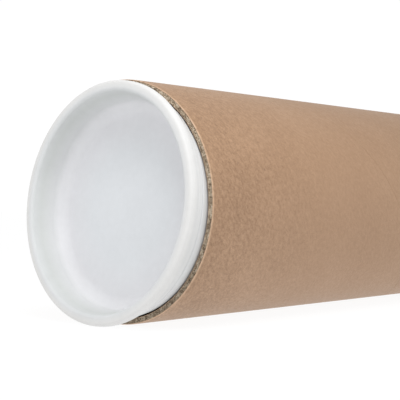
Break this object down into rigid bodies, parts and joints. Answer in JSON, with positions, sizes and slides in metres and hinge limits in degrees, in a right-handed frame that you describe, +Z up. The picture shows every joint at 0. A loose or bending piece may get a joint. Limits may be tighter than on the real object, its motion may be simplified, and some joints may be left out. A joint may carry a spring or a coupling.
{
  "type": "drawing tube",
  "caption": "Round cardboard tube for rolled drawings, wound from paper plies, with a recessed plastic plug cap in each end that pulls off.",
  "frame": {"origin": "On the surface the tube lies on, below the middle of its length", "axes": "+Y along the tube from the near cap, which sits askew, to the far cap; +Z up; +X to the right seen from the near end"},
  "size_m": [0.0798, 0.6454, 0.0798],
  "materials": {
    "kraft_paper": "matte brown kraft paper with fine fibre specks",
    "grey_board": "matte grey-brown recycled board, cut edge",
    "white_plastic": "satin white moulded polyethylene"
  },
  "bodies": {
    "tube": {"outer_kraft_wrap": "kraft_paper", "board_ply_4": "grey_board", "board_ply_3": "grey_board", "board_ply_2": "grey_board", "board_ply_1": "grey_board", "inner_kraft_liner": "kraft_paper"},
    "near_cap": {"near_end_cap": "white_plastic"},
    "far_cap": {"far_end_cap": "white_plastic"}
  },
  "joints": [
    {"name": "near_cap_pull", "type": "slide", "parent": "tube", "child": "near_cap", "axis": [0, -1, 0], "range_m": [0, 0.1]},
    {"name": "far_cap_pull", "type": "slide", "parent": "tube", "child": "far_cap", "axis": [0, 1, 0], "range_m": [0, 0.1]}
  ]
}
